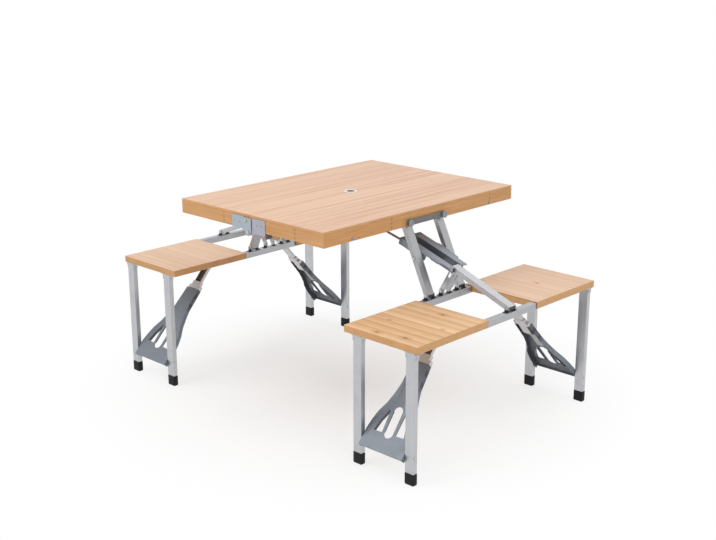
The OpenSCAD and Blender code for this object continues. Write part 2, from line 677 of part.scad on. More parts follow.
module leg_plate_a1() { color(blue_grey) a_side() y_low() leg_plate(); }
module leg_plate_a2() { color(blue_grey) a_side() leg_plate(); }
module leg_plate_b1() { color(blue_grey) y_low() leg_plate(); }
module leg_plate_b2() { color(blue_grey) leg_plate(); }
module leg_link_a1() { color(steel) a_side() y_low() leg_link(); }
module leg_link_a2() { color(steel) a_side() leg_link(); }
module leg_link_b1() { color(steel) y_low() leg_link(); }
module leg_link_b2() { color(steel) leg_link(); }

top_board_a();
top_board_b();
rim_a();
rim_b();
parasol_ring();
hinge_leaf_a();
hinge_leaf_b();
hinge_pins();
carry_handle();
handle_bosses();
latch_catches();
latch_lever_left();
latch_lever_right();
latch_bases();
seat_a1();
seat_a2();
seat_b1();
seat_b2();
rails_a();
rails_b();
rail_brackets_a();
rail_brackets_b();
struts_a();
struts_b();
strut_plugs_a();
strut_plugs_b();
strut_hangers_a();
strut_hangers_b();
brace_tube_a();
brace_tube_b();
tube_caps_a();
tube_caps_b();
brace_plate_a();
brace_plate_b();
knee_bolts_a();
knee_bolts_b();
lock_bracket_a();
lock_bracket_b();
lock_rods_a();
lock_rods_b();
rod_hooks_a();
rod_hooks_b();
legs_a1();
legs_a2();
legs_b1();
legs_b2();
feet_a1();
feet_a2();
feet_b1();
feet_b2();
leg_hangers_a();
leg_hangers_b();
leg_plate_a1();
leg_plate_a2();
leg_plate_b1();
leg_plate_b2();
leg_link_a1();
leg_link_a2();
leg_link_b1();
leg_link_b2();
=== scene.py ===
import math

import bmesh
import bpy
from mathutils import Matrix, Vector


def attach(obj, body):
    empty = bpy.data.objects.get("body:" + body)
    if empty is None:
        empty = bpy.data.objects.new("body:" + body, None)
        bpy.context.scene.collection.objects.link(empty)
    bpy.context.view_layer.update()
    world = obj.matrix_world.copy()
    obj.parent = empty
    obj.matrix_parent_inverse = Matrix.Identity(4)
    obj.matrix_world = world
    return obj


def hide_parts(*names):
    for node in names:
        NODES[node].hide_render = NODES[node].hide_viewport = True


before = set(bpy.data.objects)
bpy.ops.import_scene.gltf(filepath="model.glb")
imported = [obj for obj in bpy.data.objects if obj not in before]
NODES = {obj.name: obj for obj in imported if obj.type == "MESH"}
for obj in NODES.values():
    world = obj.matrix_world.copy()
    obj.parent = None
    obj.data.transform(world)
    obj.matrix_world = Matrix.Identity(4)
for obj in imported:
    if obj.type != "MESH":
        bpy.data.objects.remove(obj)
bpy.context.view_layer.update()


# ---------- material helpers ----------
class Tree:
    """A node material with short calls for the maths that the wood and metal patterns need."""

    def __init__(self, name, **sockets):
        self.mat = bpy.data.materials.new(name)
        self.mat.use_nodes = True
        self.t = self.mat.node_tree
        self.bsdf = self.t.nodes["Principled BSDF"]
        for key, value in sockets.items():
            self.bsdf.inputs[key.replace("_", " ")].default_value = value
        self.coord = self.new("TexCoord").outputs["Object"]

    def new(self, kind):
        return self.t.nodes.new("ShaderNode" + kind)

    def put(self, socket, value):
        """Links an output to the socket, or sets a plain value."""
        if isinstance(value, bpy.types.NodeSocket):
            self.t.links.new(value, socket)
        else:
            socket.default_value = value

    def math(self, op, a, b=0.0, clamp=False):
        n = self.new("Math")
        n.operation = op
        n.use_clamp = clamp
        for s, v in zip(n.inputs, (a, b)):
            self.put(s, v)
        return n.outputs[0]

    def add(self, a, b):
        return self.math("ADD", a, b)

    def sub(self, a, b):
        return self.math("SUBTRACT", a, b)

    def mul(self, a, b):
        return self.math("MULTIPLY", a, b)

    def abs(self, a):
        return self.math("ABSOLUTE", a)

    def top(self, a, b):
        return self.math("MAXIMUM", a, b)

    def hypot(self, a, b):
        return self.math("SQRT", self.add(self.mul(a, a), self.mul(b, b)))

    def between(self, value, low, high):
        return self.mul(self.math("GREATER_THAN", value, low), self.math("LESS_THAN", value, high))

    def xyz(self, vector):
        n = self.new("SeparateXYZ")
        self.put(n.inputs[0], vector)
        return n.outputs

    def place(self):
        return self.xyz(self.coord)

    def normal(self):
        return self.xyz(self.new("NewGeometry").outputs["Normal"])

    def vec(self, x, y, z):
        n = self.new("CombineXYZ")
        for s, v in zip(n.inputs, (x, y, z)):
            self.put(s, v)
        return n.outputs[0]

    def noise(self, vector, scale, detail, rough=0.5):
        n = self.new("TexNoise")
        self.put(n.inputs["Vector"], vector)
        n.inputs["Scale"].default_value = scale
        n.inputs["Detail"].default_value = detail
        n.inputs["Roughness"].default_value = rough
        return n.outputs[0]

    def random(self, value):
        n = self.new("TexWhiteNoise")
        n.noise_dimensions = "1D"
        self.put(n.inputs["W"], value)
        return n.outputs[0]

    def span(self, value, a, b, lo=0.0, hi=1.0, smooth=True):
        """Maps a..b to lo..hi and stops at the ends."""
        n = self.new("MapRange")
        n.interpolation_type = "SMOOTHSTEP" if smooth else "LINEAR"
        for s, v in zip(n.inputs, (value, a, b, lo, hi)):
            self.put(s, v)
        return n.outputs[0]

    def mix(self, fac, a, b):
        n = self.new("Mix")
        n.data_type = "RGBA"
        self.put(n.inputs[0], fac)
        for s, v in ((n.inputs[6], a), (n.inputs[7], b)):
            self.put(s, (*v, 1.0) if isinstance(v, tuple) else v)
        return n.outputs[2]

    def bump(self, height, strength, distance):
        n = self.new("Bump")
        n.inputs["Strength"].default_value = strength
        n.inputs["Distance"].default_value = distance
        self.put(n.inputs["Height"], height)
        self.t.links.new(n.outputs[0], self.bsdf.inputs["Normal"])

    def finish(self, color, rough):
        self.put(self.bsdf.inputs["Base Color"], color)
        self.put(self.bsdf.inputs["Roughness"], rough)
        return self.mat


def shaded(color, red, green=None, blue=None):
    """The colour with its channels multiplied, all by the first factor if it stands alone."""
    factors = (red, red if green is None else green, red if blue is None else blue)
    return tuple(c * f for c, f in zip(color, factors))


def wood(name, across, width, shift, light, dark, vary, side, level,
         slope=0.0, knots=(), grain=1.0):
    """Glued strips of pale wood of one width. across is the axis over the strips: 0 for X, 1 for Y.

    level is the mean tone from light to dark, vary how far the strips differ from it, slope how far
    a strip darkens towards one edge. side is the colour of the edges of the board, and knots holds
    (x, y, radius) for each knot.
    """
    t = Tree(name, Roughness=0.42, Coat_Weight=0.12, Coat_Roughness=0.3)
    p = t.place()
    a, l, z = p[across], p[1 - across], p[2]
    s = t.math("DIVIDE", t.add(a, shift), width)
    cell = t.math("FLOOR", s)
    r = t.random(t.mul(cell, 1.37))
    off = t.mul(t.random(t.add(t.mul(cell, 2.11), 40.0)), 9.0)

    def fibre(over, along, depth, detail, rough=0.5):
        """Noise drawn out along the strip, with another part of it for each strip."""
        place = t.vec(t.mul(a, over), t.add(t.mul(l, along), off), depth)
        return t.noise(place, 1.0, detail, rough)

    swirl = fibre(16.0, 2.0, z, 2.0)
    rings = t.span(t.math("SINE", t.mul(t.add(swirl, t.mul(a, 3.0)), 95.0)), -0.2, 1.0)
    fine = fibre(420.0, 9.0, t.mul(z, 420.0), 4.0, 0.6)
    patch = fibre(9.0, 3.0, z, 2.0)
    tone = t.add(t.mul(r, 1.0 - slope), t.mul(t.math("FRACT", s), slope))
    k = t.add(t.mul(t.sub(tone, 0.5), vary), level)
    k = t.add(k, t.mul(rings, 0.16 * grain))
    k = t.add(k, t.mul(t.span(fine, 0.35, 0.75), 0.16 * grain))
    k = t.math("ADD", k, t.mul(t.sub(patch, 0.5), 0.45), clamp=True)
    col = t.mix(k, light, dark)

    line = t.mul(t.span(fibre(95.0, 0.9, r, 2.0, 0.6), 0.53, 0.64), 0.75 * grain)
    col = t.mix(line, col, shaded(dark, 0.93, 0.82, 0.78))
    glue = t.span(t.math("PINGPONG", t.math("FRACT", s), 0.5), 0.0, 0.0016 / width, 1.0, 0.0)
    col = t.mix(t.mul(glue, t.add(t.mul(r, 0.3), 0.5)), col, shaded(dark, 0.75))

    for kx, ky, size in knots:
        d = [t.sub(p[0], kx), t.sub(p[1], ky)]
        d[1 - across] = t.mul(d[1 - across], 0.6)
        d = t.hypot(*d)
        halo = t.span(d, size, size * 3.2, 0.45, 0.0)
        core = t.span(d, size * 0.35, size, 0.8, 0.0)
        ring = t.math("SINE", t.mul(d, 1500.0))
        halo = t.mul(halo, t.add(t.mul(ring, 0.25), 0.75))
        col = t.mix(halo, col, shaded(dark, 0.85, 0.55, 0.45))
        col = t.mix(core, col, shaded(dark, 0.28))

    block = t.random(t.math("FLOOR", t.mul(t.add(l, a), 28.0)))
    streak = t.noise(t.vec(t.mul(a, 40.0), t.mul(l, 40.0), t.mul(z, 500.0)), 1.0, 3.0, 0.6)
    worn = t.add(t.mul(block, 0.25), t.mul(t.span(streak, 0.3, 0.75), 0.55))
    edge = t.mix(worn, side, shaded(side, 0.72))
    col = t.mix(t.span(t.abs(t.normal()[2]), 0.35, 0.8), edge, col)

    t.bump(t.add(t.mul(fine, 0.6), t.mul(glue, -1.2)), 0.12, 0.0006)
    return t.finish(col, t.add(t.mul(fine, 0.12), 0.38))


FINGER_PITCH = 0.0122


def rim_wood(name, light, dark, joints):
    """Rim boards with the grain along the board.

    joints holds (axis, place on it, sign of the face) for each finger joint.
    """
    t = Tree(name, Coat_Weight=0.1, Coat_Roughness=0.3)
    p = t.place()
    n = t.normal()
    along_x = t.span(t.abs(n[1]), 0.4, 0.6)
    l = t.add(t.mul(p[0], along_x), t.mul(p[1], t.sub(1.0, along_x)))
    grain = t.noise(t.vec(t.mul(l, 5.0), 0.0, t.mul(p[2], 260.0)), 1.0, 4.0, 0.6)
    patch = t.noise(t.vec(t.mul(l, 4.0), along_x, t.mul(p[2], 25.0)), 1.0, 2.0)
    k = t.add(t.mul(t.span(grain, 0.3, 0.75), 0.7), t.mul(patch, 0.8))
    col = t.mix(t.math("SUBTRACT", k, 0.3, clamp=True), light, dark)
    for axis, place, sign in joints:
        d = t.abs(t.sub(p[axis], place))
        on = t.math("GREATER_THAN", t.mul(n[1 - axis], sign), 0.5)
        row = t.abs(t.sub(t.math("FRACT", t.math("DIVIDE", p[2], FINGER_PITCH)), 0.5))
        tips = t.mul(t.span(d, 0.0032, 0.0042, 1.0, 0.0), t.span(row, 0.1, 0.2, 0.6, 0.0))
        seam = t.span(d, 0.0003, 0.0011, 0.4, 0.0)
        col = t.mix(t.mul(t.top(tips, seam), on), col, shaded(dark, 0.5, 0.32, 0.25))
    t.bump(grain, 0.12, 0.0005)
    return t.finish(col, t.add(t.mul(grain, 0.15), 0.36))


def metal(name, color, rough, axis=2, streak=0.1, metallic=1.0, spots=0.0, shade=0.12, mask=None):
    """Drawn or rolled metal: fine streaks along one axis, faint stains, a little wear.

    mask is a function that gives how much of another colour lies where, and that colour.
    """
    t = Tree(name, Metallic=metallic)
    p = t.place()
    drawn = [t.mul(v, 12.0 if i == axis else 900.0) for i, v in enumerate(p)]
    line = t.noise(t.vec(*drawn), 1.0, 3.0, 0.6)
    cloud = t.noise(t.coord, 30.0, 3.0, 0.55)
    col = t.mix(t.mul(t.span(line, 0.3, 0.7), shade), color, shaded(color, 0.55))
    col = t.mix(t.mul(t.span(cloud, 0.45, 0.75), shade), col, shaded(color, 0.7))
    if spots:
        grit = t.noise(t.coord, 700.0, 2.0, 0.5)
        col = t.mix(t.mul(t.span(grit, 0.5, 0.7), spots), col, shaded(color, 1.6))
    r = t.add(rough, t.mul(t.sub(cloud, 0.5), 0.2))
    r = t.add(r, t.mul(t.sub(line, 0.5), streak))
    t.bump(line, 0.06, 0.0003)
    # where the mask lies the surface is less metallic; on the leg plates, leg links and knee bolts
    # its colour is painted shade
    if mask:
        amount, tint = mask(t, p)
        col = t.mix(amount, col, tint)
        t.put(t.bsdf.inputs["Metallic"], t.mul(t.sub(1.0, amount), metallic))
    return t.finish(col, r)


def plastic(name, color, rough, speck=0.15, shine=0.5):
    """Moulded plastic or rubber with a fine grain and faint pale specks."""
    t = Tree(name, Specular_IOR_Level=shine)
    fine = t.noise(t.coord, 600.0, 2.0, 0.5)
    cloud = t.noise(t.coord, 40.0, 3.0, 0.5)
    pale = tuple(min(1.0, c * 1.7 + 0.01) for c in color)
    col = t.mix(t.mul(t.span(cloud, 0.35, 0.75), speck), color, pale)
    t.bump(fine, 0.15, 0.0004)
    return t.finish(col, t.add(rough, t.mul(t.sub(fine, 0.5), 0.15)))


# ---------- places of the legs, plates and bolts, in metres, as in the CAD source ----------
LEG_X = (0.425, 0.618)                    # middles of the two legs of a pair
LEG_Y = 0.406                             # middle of the legs along the table
LEG_MID = 0.5215                          # middle between the two legs
LEG_RIVET_Z = 0.081                       # height of the rivets at the foot of the leg plate
BENCH_MID = 0.50965                       # middle of the bench
LEG_A = math.radians(131.28)              # slope of the leg plate
FOOT_U = 0.030                            # from here up the plate leans towards the bench's middle
LEAN_RUN = 0.2263                         # length over which it gets there
LEAN = math.atan2(LEG_MID - BENCH_MID, LEAN_RUN)
PLATE_A = math.radians(-18.2094)          # slope of the brace plate
RIVET = (0.34083, 0.51599)                # x and z of the rivets of the brace plate
KNEE = (0.432, 0.486)                     # x and z of the knee bolts
KNEE_D = 0.0960                           # from those rivets down to the knee
RAIL_TOP = 0.3995
BRACKET_BLACK = 0.0075                    # height of the black part of the brackets on the rails
RING_BORE_R = 0.0127
STRAP_HALF = 0.0133                       # pale strap on the leg plate: half width,
STRAP_U, STRAP_W = (0.1245, 0.2025), (-0.00785, -0.0060)   # range up the plate and over it
LINK_HALF, LINK_W = 0.01385, (-0.0047, 0.0042)             # channel of the leg link, the same way, where its painted shade lies


def plate_frame(t, p):
    """Distance up the leg plate and height over it, for any of the four plates."""
    c, s = math.cos(LEG_A), math.sin(LEG_A)
    y = t.sub(t.abs(p[1]), LEG_Y)
    z = t.sub(p[2], LEG_RIVET_Z)
    return t.add(t.mul(y, c), t.mul(z, s)), t.add(t.mul(y, -s), t.mul(z, c))


def brace_frame(t, p):
    """Distance down the brace plate from its rivets and height over its middle."""
    c, s = math.cos(PLATE_A), math.sin(PLATE_A)
    x = t.sub(t.abs(p[0]), RIVET[0])
    z = t.sub(p[2], RIVET[1])
    return t.add(t.mul(x, c), t.mul(z, s)), t.add(t.mul(x, -s), t.mul(z, c))


def plate_shade_and_strap(t, p):
    """Leg plate: painted shade darkens its inner side and walls and spots on its flanges; pale
    strap near the top.
    """
    u, w = plate_frame(t, p)
    n = t.normal()
    side = t.span(t.abs(n[0]), 0.6, 0.8)
    # painted shade on the side flanges: darker above u 0.184 and darker still in two spots
    spot = t.span(u, 0.168, 0.184, 0.0, 0.55)
    for at, size in ((0.196, 0.009), (0.232, 0.011)):
        spot = t.top(spot, t.span(t.abs(t.sub(u, at)), size * 0.6, size, 0.95, 0.0))
    dark = t.mul(side, spot)

    # painted shade on the inner side of the plate, in stripes for its ribs
    out = t.mul(n[1], t.math("SIGN", p[1]))
    up = t.add(t.mul(out, -math.sin(LEG_A)), t.mul(n[2], math.cos(LEG_A)))
    rib = t.math("PINGPONG", t.add(t.abs(p[0]), t.mul(u, 0.08)), 0.0045)
    inner = t.mul(t.span(up, 0.5, 0.8), t.add(t.mul(t.span(rib, 0.001, 0.003), 0.35), 0.55))

    # painted shade on the walls that face the middle of the plate, in stripes for their ridges
    off = t.add(t.sub(t.abs(p[0]), LEG_MID), t.mul(t.sub(u, FOOT_U), math.tan(LEAN)))
    facing = t.mul(t.mul(off, n[0]), t.math("SIGN", p[0]))
    ridge = t.add(t.mul(t.span(t.math("PINGPONG", w, 0.003), 0.0005, 0.0014), 0.35), 0.5)
    wall = t.mul(t.mul(side, t.math("LESS_THAN", facing, 0.0)), ridge)

    # the pale strap is part of the plate; the dark tint is the colour of the painted shade
    strap = t.mul(t.math("LESS_THAN", t.abs(off), STRAP_HALF), t.between(u, *STRAP_U))
    strap = t.mul(strap, t.between(w, *STRAP_W))
    tint = t.mix(strap, (0.035, 0.038, 0.05), (0.50, 0.51, 0.53))
    return t.top(t.top(dark, t.top(inner, wall)), t.mul(strap, 0.95)), tint


def link_channel_shade(t, p):
    """Leg link: painted shade in a dark brown inside the open channel."""
    w = plate_frame(t, p)[1]
    x = t.abs(t.sub(t.abs(p[0]), BENCH_MID))
    channel_shade = t.mul(t.math("LESS_THAN", x, LINK_HALF), t.between(w, *LINK_W))
    return t.mul(channel_shade, 0.9), (0.085, 0.06, 0.045)


def black_below(level):
    """Brackets: black plastic up to a level, steel above it."""
    low, high = level - 0.0004, level + 0.0004
    return lambda t, p: (t.span(p[2], low, high, 1.0, 0.0), (0.02, 0.02, 0.022))


def brace_shade(t, p):
    """Brace plate: darker in its channel and at its upper end."""
    d, w = brace_frame(t, p)
    well = t.mul(t.math("LESS_THAN", w, 0.0085), t.math("LESS_THAN", t.abs(p[1]), 0.0185))
    end = t.span(d, -0.098, -0.078, 0.75, 0.0)
    return t.top(t.mul(well, 0.55), end), (0.045, 0.055, 0.075)


def bolt_ring_shade(t, p):
    """Knee bolts: a dark ring around the head, painted shade of the gap around it."""
    d, w = brace_frame(t, p)
    return t.span(t.hypot(t.sub(d, KNEE_D), w), 0.0049, 0.0055), (0.015, 0.015, 0.016)


def ring_bore(t, p):
    """Parasol ring: grey inside its bore."""
    r = t.hypot(p[0], p[1])
    return t.span(r, RING_BORE_R, RING_BORE_R + 0.0004, 1.0, 0.0), (0.27, 0.28, 0.29)


TOP_LIGHT, TOP_DARK = (0.815, 0.535, 0.365), (0.62, 0.355, 0.21)
SEAT_LIGHT, SEAT_DARK = (0.83, 0.565, 0.385), (0.64, 0.385, 0.215)
WARM_LIGHT, WARM_DARK = (0.97, 0.665, 0.392), (0.56, 0.28, 0.10)
SIDE_LIGHT, SIDE_DARK = (0.70, 0.375, 0.148), (0.49, 0.225, 0.065)
SIDE_SHADE = (0.62, 0.325, 0.12)
STEEL = (0.52, 0.53, 0.55)
B1_KNOTS = ((0.484, -0.398, 0.0052), (0.571, -0.381, 0.006), (0.519, -0.165, 0.0055),
            (0.44, -0.30, 0.003), (0.60, -0.26, 0.003))
B2_KNOTS = ((0.53, 0.27, 0.0045),)
RIM_A_JOINTS = ((0, -0.111, -1), (0, 0.111, 1))
RIM_B_JOINTS = ((0, 0.195, -1), (1, -0.15, 1), (1, 0.311, 1), (0, 0.16, 1))
M = {
    "top_a": wood("wood_top_a", 0, 0.0775, 0.31, TOP_LIGHT, TOP_DARK, 0.4, SIDE_LIGHT, 0.155),
    "top_b": wood("wood_top_b", 0, 0.062, 0.31, TOP_LIGHT, TOP_DARK, 0.42, SIDE_LIGHT, 0.155),
    "seat_a": wood("wood_seat_a", 1, 0.0375, 0.42, SEAT_LIGHT, SEAT_DARK, 0.42, SIDE_SHADE, 0.16,
                   slope=0.3, grain=0.6),
    "seat_b1": wood("wood_seat_b1", 1, 0.0377, 0.417, WARM_LIGHT, WARM_DARK, 0.85, SIDE_LIGHT, 0.32,
                    slope=0.6, knots=B1_KNOTS, grain=0.42),
    "seat_b2": wood("wood_seat_b2", 1, 0.0377, 0.43, SEAT_LIGHT, SEAT_DARK, 0.42, SIDE_LIGHT, 0.14,
                    slope=0.3, knots=B2_KNOTS, grain=0.55),
    "rim_a": rim_wood("wood_rim_a", SIDE_LIGHT, SIDE_DARK, RIM_A_JOINTS),
    "rim_b": rim_wood("wood_rim_b", SIDE_LIGHT, SIDE_DARK, RIM_B_JOINTS),
    "alu_z": metal("aluminium_legs", (0.56, 0.57, 0.59), 0.38, 2, shade=0.25),
    "alu_y": metal("aluminium_rails", (0.47, 0.48, 0.50), 0.42, 1),
    "alu_x": metal("aluminium_struts", (0.455, 0.46, 0.475), 0.43, 2, shade=0.3),
    "tube": metal("aluminium_tube", (0.58, 0.59, 0.615), 0.42, 0, metallic=0.8, shade=0.25),
    "leaf_a": metal("hinge_leaf_blue", (0.42, 0.47, 0.52), 0.45, 2, metallic=0.7),
    "leaf_b": metal("hinge_leaf_violet", (0.44, 0.44, 0.50), 0.45, 2, metallic=0.7),
    "steel": metal("zinc_steel", STEEL, 0.34, 1, spots=0.05),
    "bracket": metal("bracket_steel", STEEL, 0.34, 1, spots=0.05,
                     mask=black_below(RAIL_TOP + BRACKET_BLACK)),
    # leg links: painted shade inside the open channel
    "link": metal("link_steel", (0.62, 0.62, 0.63), 0.4, 2, metallic=0.6, mask=link_channel_shade),
    "rod": metal("dark_steel", (0.22, 0.21, 0.21), 0.38, 0, shade=0.3),
    # leg plates: painted shade and a pale strap from the mask
    "sheet": metal("grey_sheet", (0.20, 0.225, 0.26), 0.45, 0, metallic=0.35, spots=0.06, shade=0.2,
                   mask=plate_shade_and_strap),
    "brace": metal("brace_sheet", (0.27, 0.305, 0.355), 0.4, 0, metallic=0.25, spots=0.06,
                   shade=0.2, mask=brace_shade),
    # brace beads: a lighter copy of the brace sheet, as a painted highlight on the ridges
    "bead": metal("bead_sheet_highlight", (0.45, 0.49, 0.55), 0.35, 0, metallic=0.25, shade=0.15),
    # knee bolts: painted shade of the gap around the head
    "bolt": metal("knee_bolt_steel", (0.50, 0.51, 0.53), 0.35, 1, mask=bolt_ring_shade),
    "chrome": metal("chrome", (0.46, 0.46, 0.48), 0.22, 0, 0.03),
    "rubber": plastic("black_rubber", (0.008, 0.008, 0.009), 0.55, shine=0.25),
    "black": plastic("black_plastic", (0.014, 0.014, 0.015), 0.4),
    "white": metal("white_plastic", (0.80, 0.80, 0.79), 0.4, 2, metallic=0.0, shade=0.05,
                   mask=ring_bore),
    "handle": plastic("grey_plastic", (0.15, 0.165, 0.165), 0.4, 0.2),
    "boss": plastic("pale_grey_plastic", (0.26, 0.28, 0.29), 0.4, 0.2),
}

# ---------- the CAD nodes: start of the name, material, width of the softened edge ----------
# the first line that fits a name counts
DRESS = (
    ("top_board_a", "top_a", 0.0012),
    ("top_board_b", "top_b", 0.0012),
    ("rim_a", "rim_a", 0.0006),
    ("rim_b", "rim_b", 0.0006),
    ("seat_a", "seat_a", 0.0022),
    ("seat_b1", "seat_b1", 0.0022),
    ("seat_b2", "seat_b2", 0.0022),
    ("legs", "alu_z", 0.001),
    ("rails", "alu_y", 0.001),
    ("struts", "alu_x", 0.001),
    ("hinge_leaf_a", "leaf_a", 0.0004),
    ("hinge_leaf_b", "leaf_b", 0.0004),
    ("latch_bases", "alu_y", 0.0004),
    ("latch_catches", "chrome", 0.0003),
    ("leg_plate", "sheet", 0.0004),
    ("leg_link", "link", 0.0004),
    ("brace_plate", "brace", 0.0004),
    ("brace_tube", "tube", 0.001),
    ("strut_plugs", "black", 0.0006),
    ("tube_caps", "black", 0.0006),
    ("knee_bolts", "bolt", 0.0004),
    ("rail_brackets", "bracket", 0.0004),
    ("lock_rods", "rod", 0.0),
    ("feet", "rubber", 0.001),
    ("parasol_ring", "white", 0.0006),
    ("handle_bosses", "boss", 0.0008),
    ("carry_handle", "handle", 0.0008),
    ("", "steel", 0.0004),
)


def dress(node, mat, bevel):
    """Gives a CAD node its material and soft edges."""
    o = NODES[node]
    for s in o.material_slots:
        s.link = "OBJECT"
        s.material = M[mat]
    if bevel:
        w = o.modifiers.new("weld", "WELD")
        w.merge_threshold = 1e-5
        b = o.modifiers.new("bevel", "BEVEL")
        b.width = bevel
        b.segments = 2
        b.limit_method = "ANGLE"
        b.angle_limit = math.radians(35)
        n = o.modifiers.new("normals", "WEIGHTED_NORMAL")
        n.keep_sharp = True


for name in NODES:
    dress(name, *next((mat, bevel) for start, mat, bevel in DRESS if name.startswith(start)))


# ---------- mesh helpers ----------
SHARP = math.radians(40.0)   # edges with a larger angle stay sharp
CORNER_STEPS = 4             # steps in each round corner
LATHE_STEPS = 24             # sides of a turned piece


def piece(name, mesh_data, mat, body, replaced=()):
    """Makes an object from (points, faces) and lets it ride on its body.

    Equal points are joined and the faces turned outward.
    """
    points, faces = mesh_data
    mesh = bpy.data.meshes.new(name)
    mesh.from_pydata([tuple(v) for v in points], [], faces)
    bm = bmesh.new()
    bm.from_mesh(mesh)
    bmesh.ops.remove_doubles(bm, verts=bm.verts, dist=1e-6)
    bmesh.ops.recalc_face_normals(bm, faces=bm.faces)
    for f in bm.faces:
        f.smooth = True
    for e in bm.edges:
        if len(e.link_faces) == 2 and e.calc_face_angle(0.0) > SHARP:
            e.smooth = False
    bm.to_mesh(mesh)
    bm.free()
    mesh.materials.append(M[mat])
    o = bpy.data.objects.new(name, mesh)
    bpy.context.scene.collection.objects.link(o)
    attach(o, body)
    if replaced:
        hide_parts(*replaced)


def join(parts):
    """Puts several (points, faces) into one."""
    points, faces = [], []
    for pts, fcs in parts:
        n = len(points)
        points += list(pts)
        faces += [tuple(i + n for i in f) for f in fcs]
    return points, faces


def loft(rings):
    """Skins equal rings of points; both ends get a face."""
    points = [v for r in rings for v in r]
    n = len(rings[0])
    last = (len(rings) - 1) * n
    faces = []
    for k in range(0, last, n):
        for i in range(n):
            j = (i + 1) % n
            faces.append((k + i, k + j, k + n + j, k + n + i))
    faces.append(tuple(range(n - 1, -1, -1)))
    faces.append(tuple(range(last, last + n)))
    return points, faces


def rounded(hx, hy, r):
    """Points of a rectangle with round corners, around (0, 0)."""
    x, y = hx - r, hy - r
    out = []
    for cx, cy, a0 in ((x, y, 0), (-x, y, 90), (-x, -y, 180), (x, -y, 270)):
        for i in range(CORNER_STEPS + 1):
            a = math.radians(a0 + 90.0 * i / CORNER_STEPS)
            out.append((cx + r * math.cos(a), cy + r * math.sin(a)))
    return out


def lathe(place, axis, profile):
    """Turns (radius, height) pairs about an axis through place."""
    z = Vector(axis).normalized()
    x = z.orthogonal().normalized()
    y = z.cross(x)
    turns = [2 * math.pi * i / LATHE_STEPS for i in range(LATHE_STEPS)]
    rings = []
    for r, h in profile:
        c = Vector(place) + z * h
        rings.append([c + (x * math.cos(a) + y * math.sin(a)) * max(r, 1e-5) for a in turns])
    return loft(rings)


SIDES = (("a", -1), ("b", 1))   # bench and sign of X
ENDS = (("1", -1), ("2", 1))    # pair of legs and sign of Y

# ---------- rubber caps on the legs ----------
CAP_HX, CAP_HY, CAP_R = 0.0165, 0.0090, 0.0035   # half sizes and corner of a cap
RIBS, RIB_Z, RIB_PITCH = 7, 0.004, 0.0042        # number, first height, distance
RIB_IN = 0.00035                                 # depth of the groove over each rib
RIB = ((0.0, 0.0), (0.0026, 0.0), (0.003, RIB_IN), (0.0036, RIB_IN), (0.004, 0.0))


def cap(cx, cy):
    """A cap with rounded ends and grooves around it, from rings of (height, inset, corner)."""
    rings = [(0.0, 0.0025, 0.002), (0.0006, 0.0012, 0.0028), (0.0022, 0.0003, 0.0034)]
    for k in range(RIBS):
        for dz, d in RIB:
            rings.append((RIB_Z + RIB_PITCH * k + dz, d, CAP_R))
    rings += [(0.0334, 0.0, CAP_R), (0.0340, 0.0006, 0.003), (0.0340, 0.00145, 0.001)]
    return loft([[(cx + x, cy + y, z) for x, y in rounded(CAP_HX - d, CAP_HY - d, r)]
                 for z, d, r in rings])


for s, sx in SIDES:
    for n, sy in ENDS:
        caps = join(cap(sx * x, sy * LEG_Y) for x in LEG_X)
        piece(f"leg_caps_{s}{n}", caps, "rubber", f"legs_{s}{n}", [f"feet_{s}{n}"])

# ---------- pressed beads on the stamped plates ----------
LEG_BEAD_W, LEG_BEAD_H, LEG_SKIN = 0.006, 0.0011, -0.0095    # width, height, face they stand on
LEG_BEADS = (((0.0195, 0.034), (0.0195, 0.102)),
             ((0.070, 0.0), (0.070, 0.030), (0.060, 0.062), (0.047, 0.092)),
             ((0.024, 0.128), (0.021, 0.16), (0.019, 0.245)))
BRACE_BEAD_W, BRACE_BEAD_H, BRACE_SKIN = 0.0052, 0.0017, 0.0105
BRACE_BEADS = ((0.0235, 0.098), (0.0325, 0.094))             # distance from the middle, lower end
BRACE_BEAD_TOP = -0.088
BEAD_STEPS = 8
BEAD_END = 0.35                                              # share of the size left at its ends
BEAD_SINK = 0.0001


def bead(path, width, height, at):
    """Low rounded ridge along a path of (a, b) points on a plate.

    at(a, b, h) gives the place at height h over the plate.
    """
    last = len(path) - 1
    rings = []
    for i, (a, b) in enumerate(path):
        p0, p1 = path[max(i - 1, 0)], path[min(i + 1, last)]
        d = Vector((p1[0] - p0[0], p1[1] - p0[1])).normalized()
        end = BEAD_END if i in (0, last) else 1.0
        ring = []
        for k in range(BEAD_STEPS + 1):
            t = math.pi * k / BEAD_STEPS
            w = math.cos(t) * width / 2 * end
            ring.append(at(a - d.y * w, b + d.x * w, math.sin(t) * height * end - BEAD_SINK))
        rings.append(ring)
    return loft(rings)


def on_leg_plate(sx, sy):
    """Places on one leg plate, from x over it, u up it and w over its middle."""
    c, s = math.cos(LEG_A), math.sin(LEG_A)

    def at(x, u, w):
        turn = LEAN if u > FOOT_U else 0.0
        ct, st, v = math.cos(turn), math.sin(turn), u - FOOT_U
        x, u = x * ct - v * st, FOOT_U + x * st + v * ct
        y, z = LEG_Y + c * u - s * w, LEG_RIVET_Z + s * u + c * w
        return Vector((sx * (LEG_MID + x), sy * y, z))
    return at


def on_brace(sx):
    """Places on one brace plate, from t down it, y over it and w over its middle."""
    c, s = math.cos(PLATE_A), math.sin(PLATE_A)
    return lambda t, y, w: Vector((sx * (RIVET[0] + c * t - s * w), y, RIVET[1] + s * t + c * w))


